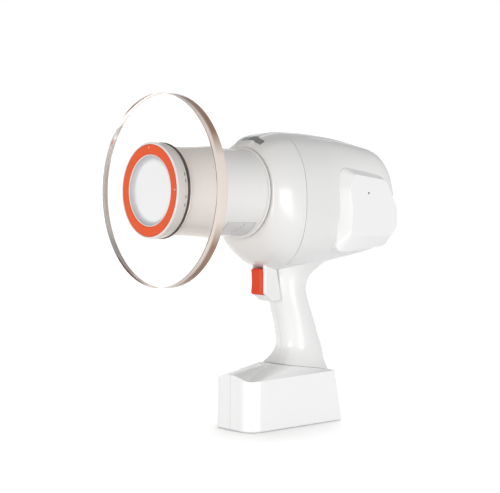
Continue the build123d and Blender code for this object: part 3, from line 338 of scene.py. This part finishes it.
def rounded(corners, steps=4):
    """A closed loop of (radius, y) with each corner (radius, y, rounding) turned into a small arc."""
    loop = []
    for index, (radius, y, rounding) in enumerate(corners):
        corner = Vector((radius, y))
        before = (Vector(corners[index - 1][:2]) - corner).normalized()
        after = (Vector(corners[(index + 1) % len(corners)][:2]) - corner).normalized()
        for step in range(steps + 1):
            t = step / steps
            start, end = corner + before * rounding, corner + after * rounding
            loop.append(tuple(start * (1 - t) ** 2 + corner * 2 * t * (1 - t) + end * t**2))
    return loop


# ---- scatter shield -----------------------------------------------------------------------------
RIM_DEPTH = 0.00035         # brown band round the plate, with a painted highlight
PLATE_CHAMFER = 0.0006
BORE_ROUNDING = 0.0002
CAP_SINK = 0.0001           # how far the plate's bore reaches into the cap, so that no air gap shows
LIP_CLEARANCE = 0.00005
LIP_LENGTH = 0.0012
SHARP = 0.00001


def shield():
    """Clear plate with a polished face on both sides and a ground, brown edge with a painted highlight."""
    low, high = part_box("shield_disc")
    outer = min(high.x, -low.x)
    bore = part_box("cone_cap")[1].x - CAP_SINK
    edge = PLATE_CHAMFER
    inner = outer - RIM_DEPTH - 2 * SHARP
    plate = [
        (bore, low.y, BORE_ROUNDING), (inner, low.y, edge),
        (inner, high.y, edge), (bore, high.y, BORE_ROUNDING),
    ]
    new_piece("shield_plate", turned(rounded(plate, 5)), "shield", "lead_acrylic", "shield_disc")
    lip = RIM_DEPTH * 0.45
    band = [
        (outer - RIM_DEPTH, low.y + edge, SHARP), (outer, low.y + edge, lip),
        (outer, high.y - edge, lip), (outer - RIM_DEPTH, high.y - edge, SHARP),
    ]
    # band round the plate, brown with the painted cream highlight
    new_piece("shield_rim", turned(rounded(band, 5)), "shield", "lead_acrylic", shade="rim_brown_painted_highlight")


def gasket_lip():
    """Dark lip of the gasket that shows between the end cap and the plate."""
    low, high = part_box("shield_gasket")
    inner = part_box("cone_cap")[1].x + LIP_CLEARANCE
    front = low.y - LIP_LENGTH
    loop = [(inner, front), (high.x, front), (high.x, high.y), (inner, high.y)]
    new_piece("gasket_lip", turned(loop), "shield", "seal")


def painted_refraction(name, start, stop, depth):
    """Painted brown refraction crescent inside the plate's edge, between two turns in degrees from +X."""
    low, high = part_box("shield_disc")
    inset = 0.0004
    reach = (high.x - low.x) / 2 - RIM_DEPTH - inset
    front = low.y + PLATE_CHAMFER + inset / 4
    steps, thin, least = 40, 0.00004, 0.0001
    mesh = bmesh.new()
    rows = []
    for step in range(steps + 1):
        turn = math.radians(start + (stop - start) * step / steps)
        back = front + least + depth * math.sin(math.pi * step / steps)
        row = []
        for radius, y in ((reach, front), (reach + thin, front), (reach + thin, back), (reach, back)):
            row.append(mesh.verts.new((radius * math.cos(turn), y, AXIS_Z + radius * math.sin(turn))))
        rows.append(row)
    new_piece(name, joined(mesh, rows), "shield", "lead_acrylic", shade="painted_refraction_brown")


shield()
gasket_lip()
# two painted refraction crescents in the plate's edge
painted_refraction("painted_refraction_upper", 93, 128, 0.0034)
painted_refraction("painted_refraction_lower", 219, 267, 0.0045)

# ---- beam window and target ring ----------------------------------------------------------------
def lathe(profile, centre, segments=48):
    """Solid turned about a line along Y through centre (x, z), from an open profile of (radius, y)."""
    mesh = bmesh.new()
    middle_x, middle_z = centre
    on_axis = 1e-7
    loops = []
    for radius, y in profile:
        if radius < on_axis:
            loops.append([mesh.verts.new((middle_x, y, middle_z))])
            continue
        loop = []
        for step in range(segments):
            turn = 2 * math.pi * step / segments
            x, z = middle_x + radius * math.sin(turn), middle_z + radius * math.cos(turn)
            loop.append(mesh.verts.new((x, y, z)))
        loops.append(loop)
    for here, there in zip(loops, loops[1:]):
        for step in range(segments):
            after = (step + 1) % segments
            corners = [here[step % len(here)], here[after % len(here)]]
            corners += [there[after % len(there)], there[step % len(there)]]
            mesh.faces.new(list(dict.fromkeys(corners))).smooth = True
    return mesh


def window_dish():
    """Thin beam window sunk as a dish, with a rolled lip round its edge and a side wall in a darker grey
    that paints the recess's shade.
    """
    low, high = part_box("beam_window")
    radius = (high.x - low.x) / 2
    lip, wall, shell = 0.0010, 0.0024, 0.0003
    reach = radius - lip
    sunk, bulge = 0.84, 0.0004
    floor_y = low.y + (high.y - low.y) * sunk
    profile = [(0.0, floor_y - bulge)]
    for step in range(1, 9):
        spot = step / 8
        profile.append(((reach - wall) * spot, floor_y - bulge * (1 - spot**2)))
    profile += [(reach - wall, floor_y + shell), (reach + shell, floor_y + shell)]
    profile.append((reach + shell, low.y + lip / 2))
    middle = (reach + shell + radius) / 2
    spread = radius - middle
    for step in range(7):
        turn = math.pi * step / 6
        profile.append((middle - spread * math.cos(turn), low.y + lip / 2 * (1 - math.sin(turn))))
    profile += [(radius, high.y - 0.0002), (radius - 0.0002, high.y), (0.0, high.y)]
    new_piece("window_dish", lathe(profile, (0.0, AXIS_Z), 160), "device", "window_white", "beam_window")
    # side wall of the dish in a darker grey: painted shade in the recess
    painted_shade_wall = []
    for step in range(9):
        turn = math.pi / 2 * step / 8
        rise = floor_y - low.y - lip / 3
        painted_shade_wall.append((reach - wall + wall * math.sin(turn), floor_y - rise * (1 - math.cos(turn))))
    painted_shade_wall += [(reach + shell * 0.9, painted_shade_wall[-1][1]), (reach + shell * 0.9, floor_y + shell * 0.9)]
    painted_shade_wall.append((reach - wall, floor_y + shell * 0.9))
    new_piece("window_wall", turned(painted_shade_wall), "device", "window_white", shade="wall_painted_shade_grey")


def ring_pins():
    """Two small light pins sunk in the target ring, at the top and at the device's left."""
    radius, proud, inset, lift = 0.0007, 0.00012, 0.0028, 0.00003
    for name, turn in (("ring_pin_top", 0.0), ("ring_pin_left", 90.0)):
        spread = (beam_high.x - beam_low.x) / 2 - inset
        x = spread * math.sin(math.radians(turn))
        z = AXIS_Z + spread * math.cos(math.radians(turn))
        face = beam_low.y - lift
        foot = face + 0.0008
        profile = [(0.0, face), (radius * 0.7, face), (radius, face + proud), (radius, foot), (0.0, foot)]
        new_piece(name, lathe(profile, (x, z), 24), "device", "orange", shade="pin_silver")


def curved_strip(radius, turns, lows, highs, lift):
    """Thin plate that hugs the beam axis: turn range in degrees from +X, y range, proud by lift."""
    mesh = bmesh.new()
    steps = 12
    under, over = radius - 0.0002, radius + lift
    rows = []
    for step in range(steps + 1):
        turn = math.radians(turns[0] + (turns[1] - turns[0]) * step / steps)
        row = []
        for reach, y in ((under, lows), (over, lows), (over, highs), (under, highs)):
            row.append(mesh.verts.new((reach * math.cos(turn), y, AXIS_Z + reach * math.sin(turn))))
        rows.append(row)
    return joined(mesh, rows)


def cap_notches():
    """Four short dark notch marks round the left side of the end cap, near its rear edge."""
    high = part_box("cone_cap")[1]
    half, inset, wide, lift = 1.8, 0.0046, 0.0012, 0.00006
    for index, turn in enumerate((18.5, 10.5, -8.0, -18.0)):
        front = high.y - inset
        strip = curved_strip(high.x, (turn - half, turn + half), front, front + wide, lift)
        new_piece(f"cap_notch_{index}", strip, "device", "white_casing", shade="print_dark")


window_dish()
ring_pins()
cap_notches()


# ---- printing on the cone -----------------------------------------------------------------------
def cone_print():
    """Fine outline round the cone's two label fields, and ticks that step slantwise across them."""
    low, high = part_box("cone_labels")
    spots = [vert.co for vert in NODES["cone_labels"].data.vertices]
    radius = max(math.hypot(spot.x, spot.z - AXIS_Z) for spot in spots)
    near = math.degrees(math.atan2(high.z - AXIS_Z, high.x))
    far = math.degrees(math.atan2(low.z - AXIS_Z, low.x))
    line, lift = 0.00035, 0.00002
    turn = math.degrees(line / radius)
    middle = (low.y + high.y) / 2
    strips = {
        "upper": ((near, near - turn), low.y, high.y),
        "lower": ((far, far + turn), low.y, high.y),
        "front": ((near, far), low.y, low.y + line),
        "rear": ((near, far), high.y - line, high.y),
    }
    for name, (turns, front, back) in strips.items():
        strip = curved_strip(radius, turns, front, back, lift)
        new_piece("print_" + name, strip, "device", "label_grey")
    ticks, margin, slant, wide = 6, 0.08, 0.007, 0.0007
    span = 1 - 2 * margin
    for index in range(ticks):
        start = near + (far - near) * (margin + span * index / ticks)
        stop = near + (far - near) * (margin + span * (index + 1) / ticks)
        y = middle + slant / 2 - slant * index / (ticks - 1)
        strip = curved_strip(radius, (start, stop), y, y + wide, lift)
        new_piece(f"print_tick_{index}", strip, "device", "label_grey", shade="mid_grey_print_and_seam_shade")


cone_print()

# ---- casing seam --------------------------------------------------------------------------------
def casing_seam():
    """Grey strip in the gap between the front and the rear casing: painted seam shadow."""
    low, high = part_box("front_casing")
    middle_z = (low.z + high.z) / 2
    bins = {}
    bin_width = 3
    for vert in NODES["front_casing"].data.vertices:
        x, y, z = vert.co
        if y > high.y - SHARP:
            reach, turn = math.hypot(x, z - middle_z), math.atan2(z - middle_z, x)
            place = int(math.degrees(turn) // bin_width)
            if place not in bins or reach > bins[place][0]:
                bins[place] = (reach, turn)
    mesh = bmesh.new()
    deep, shallow = 0.0010, 0.0003
    front, back = high.y, high.y + 0.0004
    rows = []
    for reach, turn in sorted(bins.values(), key=lambda spot: spot[1]):
        row = []
        for inset, y in ((deep, front), (shallow, front), (shallow, back), (deep, back)):
            radius = reach - inset
            row.append(mesh.verts.new((radius * math.cos(turn), y, middle_z + radius * math.sin(turn))))
        rows.append(row)
    # mid grey here paints the shadow in the seam
    new_piece("casing_seam", joined(mesh, rows, closed=True), "device", "collar_grey", shade="mid_grey_print_and_seam_shade")


casing_seam()

# ---- operator panel -----------------------------------------------------------------------------
PANEL_LEAN = math.radians(24.0)
PANEL_OUT = Vector((0, math.cos(PANEL_LEAN), math.sin(PANEL_LEAN)))
PANEL_UP = Vector((0, -math.sin(PANEL_LEAN), math.cos(PANEL_LEAN)))
PANEL_RIGHT = Vector((-1, 0, 0))


def level(name):
    """Distance of a node's outermost point along the panel's outward direction."""
    piece = NODES[name]
    return max((piece.matrix_world @ vert.co).dot(PANEL_OUT) for vert in piece.data.vertices)


def printed_shape(loops, origin, height, thickness=0.00005):
    """Flat prisms on the panel: loops of (right, up) round a point, from a height along PANEL_OUT."""
    mesh = bmesh.new()
    base = origin + PANEL_OUT * (height - origin.dot(PANEL_OUT))
    for loop in loops:
        rings = []
        for rise in (-thickness, thickness):
            lifted = base + PANEL_OUT * rise
            rings.append([mesh.verts.new(lifted + PANEL_RIGHT * a + PANEL_UP * b) for a, b in loop])
        mesh.faces.new(rings[0])
        mesh.faces.new(rings[1])
        for index in range(len(loop)):
            after = (index + 1) % len(loop)
            mesh.faces.new((rings[0][index], rings[0][after], rings[1][after], rings[1][index]))
    return mesh


def bar(left, low, right, high):
    """Loop of a rectangle."""
    return [(left, low), (right, low), (right, high), (left, high)]


def arc(radius, width, start, stop, steps=20):
    """Quads that make part of a ring, angles in degrees anticlockwise from the right."""
    loops = []
    for step in range(steps):
        a = math.radians(start + (stop - start) * step / steps)
        b = math.radians(start + (stop - start) * (step + 1) / steps)
        corners = []
        for reach, turn in ((radius, a), (radius + width, a), (radius + width, b), (radius, b)):
            corners.append((reach * math.cos(turn), reach * math.sin(turn)))
        loops.append(corners)
    return loops


def key_marks():
    """Plain pictograms on the five keys."""
    half, stroke = 0.002, 0.0005
    foot, tip = 0.6 * half, 0.9 * half
    stem = bar(-stroke / 2, 0.3 * half, stroke / 2, 1.3 * half)
    rows = [spot * half for spot in (-0.7, 0, 0.7)]
    marks = {
        "power_key": arc(0.85 * half, stroke, 125, 415) + [stem],
        "down_key": [[(-half, foot), (0.0, -tip), (half, foot)]],
        "mode_key": [bar(-half, row - stroke / 2, half, row + stroke / 2) for row in rows],
        "up_key": [[(-half, -foot), (half, -foot), (0.0, tip)]],
        "ready_key": arc(0.75 * half, stroke, 0, 360) + arc(0.01 * half, 0.3 * half, 0, 360),
    }
    for name, loops in marks.items():
        low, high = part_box(name)
        shade = "pin_silver" if name == "power_key" else "print_dark"
        mesh = printed_shape(loops, (low + high) / 2, level(name))
        new_piece(name + "_mark", mesh, name + "_body", SLOT_OF[name], shade=shade)


def display_picture():
    """Generic readout under the glass: a charge gauge, three setting fields and a dose bar."""
    low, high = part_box("display_window")
    clearance = 0.00006
    middle = (low + high) / 2
    height = level("display_module") + clearance
    half_w = (high.x - low.x) / 2
    half_h = math.hypot(high.y - low.y, high.z - low.z) / 2
    fine = 0.0004
    right, top = half_w * 0.82, half_h * 0.74
    gauge_w, gauge_h = half_w * 0.26, half_h * 0.26
    left = right - gauge_w
    frame_bars = [
        bar(left, top - fine, right, top), bar(left, top - gauge_h, right, top - gauge_h + fine),
        bar(left, top - gauge_h, left + fine, top), bar(right - fine, top - gauge_h, right, top),
        bar(right, top - gauge_h * 0.66, right + fine * 1.6, top - gauge_h * 0.34),
    ]
    cells = []
    pitch = (gauge_w - fine * 3) / 3
    for index in range(3):
        start = left + fine * 2 + index * pitch
        cells.append(bar(start, top - gauge_h + fine * 2, start + pitch - fine, top - fine * 2))
    fields = []
    for index in range(3):
        start = -right + index * right * 0.68
        end = start + right * 0.58
        for edge in (-top * 0.30, top * 0.42):
            fields.append(bar(start, edge, end, edge + fine))
        fields.append(bar(start + right * 0.10, -top * 0.12, end - right * 0.10, -top * 0.12 + fine * 3))
        fields.append(bar(start + right * 0.18, top * 0.12, end - right * 0.18, top * 0.12 + fine * 3))
    dose = [bar(-right, -top * 0.86, right * 0.45, -top * 0.62)]
    groups = {"gauge_frame": (frame_bars, "glow_white"), "gauge_cells": (cells, "glow_amber"),
              "setting_fields": (fields, "glow_white"), "dose_bar": (dose, "glow_amber")}
    for name, (loops, shade) in groups.items():
        new_piece(name, printed_shape(loops, middle, height), "device", "display", shade=shade)


key_marks()
display_picture()


# ---- release button -----------------------------------------------------------------------------
def button_ribs():
    """Three low grip ribs across the battery release button."""
    low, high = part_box("release_button")
    middle = (low + high) / 2
    reach, half = (high.x - low.x) * 0.33, 0.0004
    crest, root, pitch = 0.0001, 0.0004, 0.0026
    for index in (-1, 0, 1):
        z = middle.z + index * pitch
        profile = [(0.0, -half), (crest * 0.6, -half * 0.7), (crest, 0.0), (crest * 0.6, half * 0.7)]
        profile += [(0.0, half), (-root, 0.0)]
        mesh = bmesh.new()
        ends = []
        for x in (-reach, reach):
            ends.append([mesh.verts.new((middle.x + x, high.y + rise, z + side)) for rise, side in profile])
        mesh.faces.new(ends[0])
        mesh.faces.new(ends[1])
        for spot in range(len(profile)):
            after = (spot + 1) % len(profile)
            mesh.faces.new((ends[0][spot], ends[0][after], ends[1][after], ends[1][spot]))
        new_piece(f"button_rib_{index + 1}", mesh, "release_button_body", "button_grey")


button_ribs()

# ---- stage --------------------------------------------------------------------------------------
def direction(azimuth, elevation):
    """Unit vector towards a viewer or lamp; azimuth 0 is before the cone, 90 at the device's left."""
    a, e = math.radians(azimuth), math.radians(elevation)
    return Vector((math.sin(a) * math.cos(e), -math.cos(a) * math.cos(e), math.sin(e)))


def aim(thing, back, distance):
    """Puts a lamp or the camera at a distance from the middle of the view, looking at it."""
    thing.location = Vector(CAMERA_TARGET) + back * distance
    thing.rotation_mode = "QUATERNION"
    thing.rotation_quaternion = (-back).to_track_quat("-Z", "Y")


def sweep_floor():
    """Pale floor that turns up into a backdrop far behind the object."""
    radius, ahead, reach, side, height, steps = 1.2, 2.2, 2.6, 2.6, 5.0, 12
    rows = [(ahead, 0.0)]
    for step in range(steps + 1):
        turn = math.pi / 2 * step / steps
        rows.append((-reach - radius * math.sin(turn), radius * (1 - math.cos(turn))))
    rows.append((-reach - radius, height))
    toward = direction(CAMERA_AZIMUTH, 0)
    across = direction(CAMERA_AZIMUTH + 90, 0)
    mesh = bmesh.new()
    pairs = []
    for along, z in rows:
        foot = toward * along + Vector((0, 0, z))
        pairs.append([mesh.verts.new(foot + across * x) for x in (-side, side)])
    for near, far in zip(pairs, pairs[1:]):
        mesh.faces.new((near[0], near[1], far[1], far[0])).smooth = True
    data = bpy.data.meshes.new("floor")
    mesh.to_mesh(data)
    floor = bpy.data.objects.new("floor", data)
    bpy.context.scene.collection.objects.link(floor)
    finish = moulded("floor_paper", (0.90, 0.90, 0.90), 0.8, grain=300.0, depth=0.00002, spread=0.004)
    data.materials.append(finish)
    floor.visible_diffuse = False
    floor.visible_shadow = False
    return floor


def soft_light(name, azimuth, elevation, distance, size, power, only=None):
    """Soft box aimed at the middle of the view; with only, it lights nothing but that object."""
    light = bpy.data.lights.new(name, "AREA")
    light.shape = "RECTANGLE"
    light.size, light.size_y = size
    light.energy = power
    lamp = bpy.data.objects.new(name, light)
    bpy.context.scene.collection.objects.link(lamp)
    aim(lamp, direction(azimuth, elevation), distance)
    lamp.visible_camera = False
    if only:
        receivers = bpy.data.collections.new(name + "_receivers")
        receivers.objects.link(only)
        lamp.light_linking.receiver_collection = receivers


paper = sweep_floor()
soft_light("front_light", 8, -4, 1.6, (0.9, 0.8), 10.5)
soft_light("side_light", 92, -3, 1.6, (0.9, 0.8), 10.0)
soft_light("paper_light", CAMERA_AZIMUTH + 180, 70, 3.0, (6.0, 6.0), 215, only=paper)


def studio_world():
    """Surroundings that are bright round the horizon and dimmer above and below."""
    world = bpy.data.worlds.new("studio")
    world.use_nodes = True
    sky = world.node_tree
    place = node(sky, "ShaderNodeTexCoord")
    split = node(sky, "ShaderNodeSeparateXYZ")
    ramp = node(sky, "ShaderNodeValToRGB")
    stops = [(0.0, 0.22), (0.30, 0.34), (0.44, 0.84), (0.52, 0.92), (0.60, 0.70), (0.74, 0.36), (1.0, 0.20)]
    while len(ramp.color_ramp.elements) < len(stops):
        ramp.color_ramp.elements.new(0.5)
    for element, (spot, grey) in zip(ramp.color_ramp.elements, stops):
        element.position = spot
        element.color = (grey, grey, grey, 1)
    sky.links.new(place.outputs["Generated"], split.inputs["Vector"])
    sky.links.new(ranged(sky, split.outputs["Z"], 0.0, 1.0, -1.0, 1.0), ramp.inputs["Fac"])
    lit = sky.nodes["Background"]
    lit.inputs["Strength"].default_value = 1.1
    sky.links.new(ramp.outputs["Color"], lit.inputs["Color"])
    seen = node(sky, "ShaderNodeBackground", Color=(1, 1, 1, 1), Strength=1.0)
    path = node(sky, "ShaderNodeLightPath")
    either = node(sky, "ShaderNodeMixShader")
    sky.links.new(path.outputs["Is Camera Ray"], either.inputs["Fac"])
    sky.links.new(lit.outputs["Background"], either.inputs[1])
    sky.links.new(seen.outputs["Background"], either.inputs[2])
    sky.links.new(either.outputs["Shader"], sky.nodes["World Output"].inputs["Surface"])
    bpy.context.scene.world = world


studio_world()
bpy.context.scene.view_settings.view_transform = "Standard"

camera_data = bpy.data.cameras.new("camera")
camera_data.lens = CAMERA_LENS
camera_data.sensor_width = 36.0
camera_data.clip_start = 0.05
camera_data.clip_end = 50.0
camera = bpy.data.objects.new("camera", camera_data)
bpy.context.scene.collection.objects.link(camera)
aim(camera, direction(CAMERA_AZIMUTH, CAMERA_ELEVATION), CAMERA_DISTANCE)
bpy.context.scene.camera = camera
